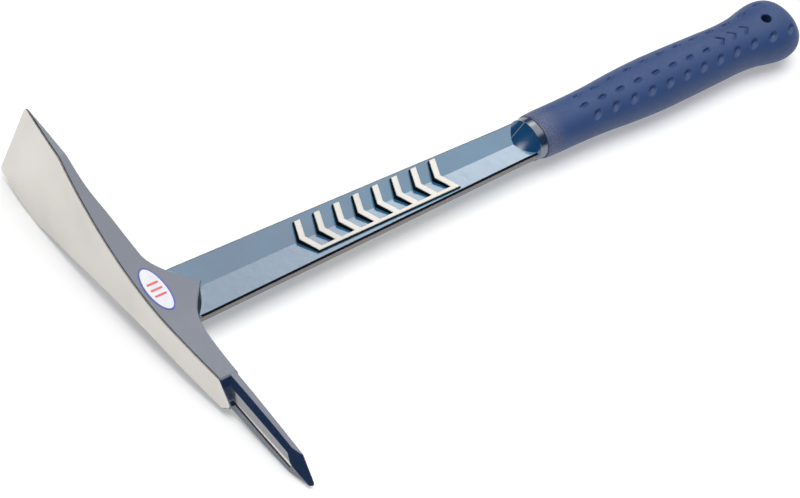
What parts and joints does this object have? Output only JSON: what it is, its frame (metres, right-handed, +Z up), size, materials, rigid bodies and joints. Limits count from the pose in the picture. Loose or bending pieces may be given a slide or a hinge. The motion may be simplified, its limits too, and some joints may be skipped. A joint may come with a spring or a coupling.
{
  "type": "rock hammer",
  "caption": "One-piece forged pick with an adze blade and a faceted spike, flat valleyed shank and a moulded oval grip with a flared butt and hang hole.",
  "frame": {"origin": "on the ground, under the middle of the tool's bounding box, with the tool lying on its side", "axes": "+X down the handle from the head to the butt, +Y towards the adze, +Z up from the ground"},
  "size_m": [0.453, 0.2378, 0.0486],
  "materials": {
    "steel": "clear blue lacquer over forged steel, with the crown and the tops of the raised marks ground bare",
    "vinyl": "matte blue moulded vinyl with a fine grain and rows of dimples",
    "label_film": "printed film with a plain red, white and blue mountain shape"
  },
  "bodies": {
    "root": {"forging": "steel", "grip": "vinyl", "cheek_label": "label_film"}
  },
  "joints": []
}
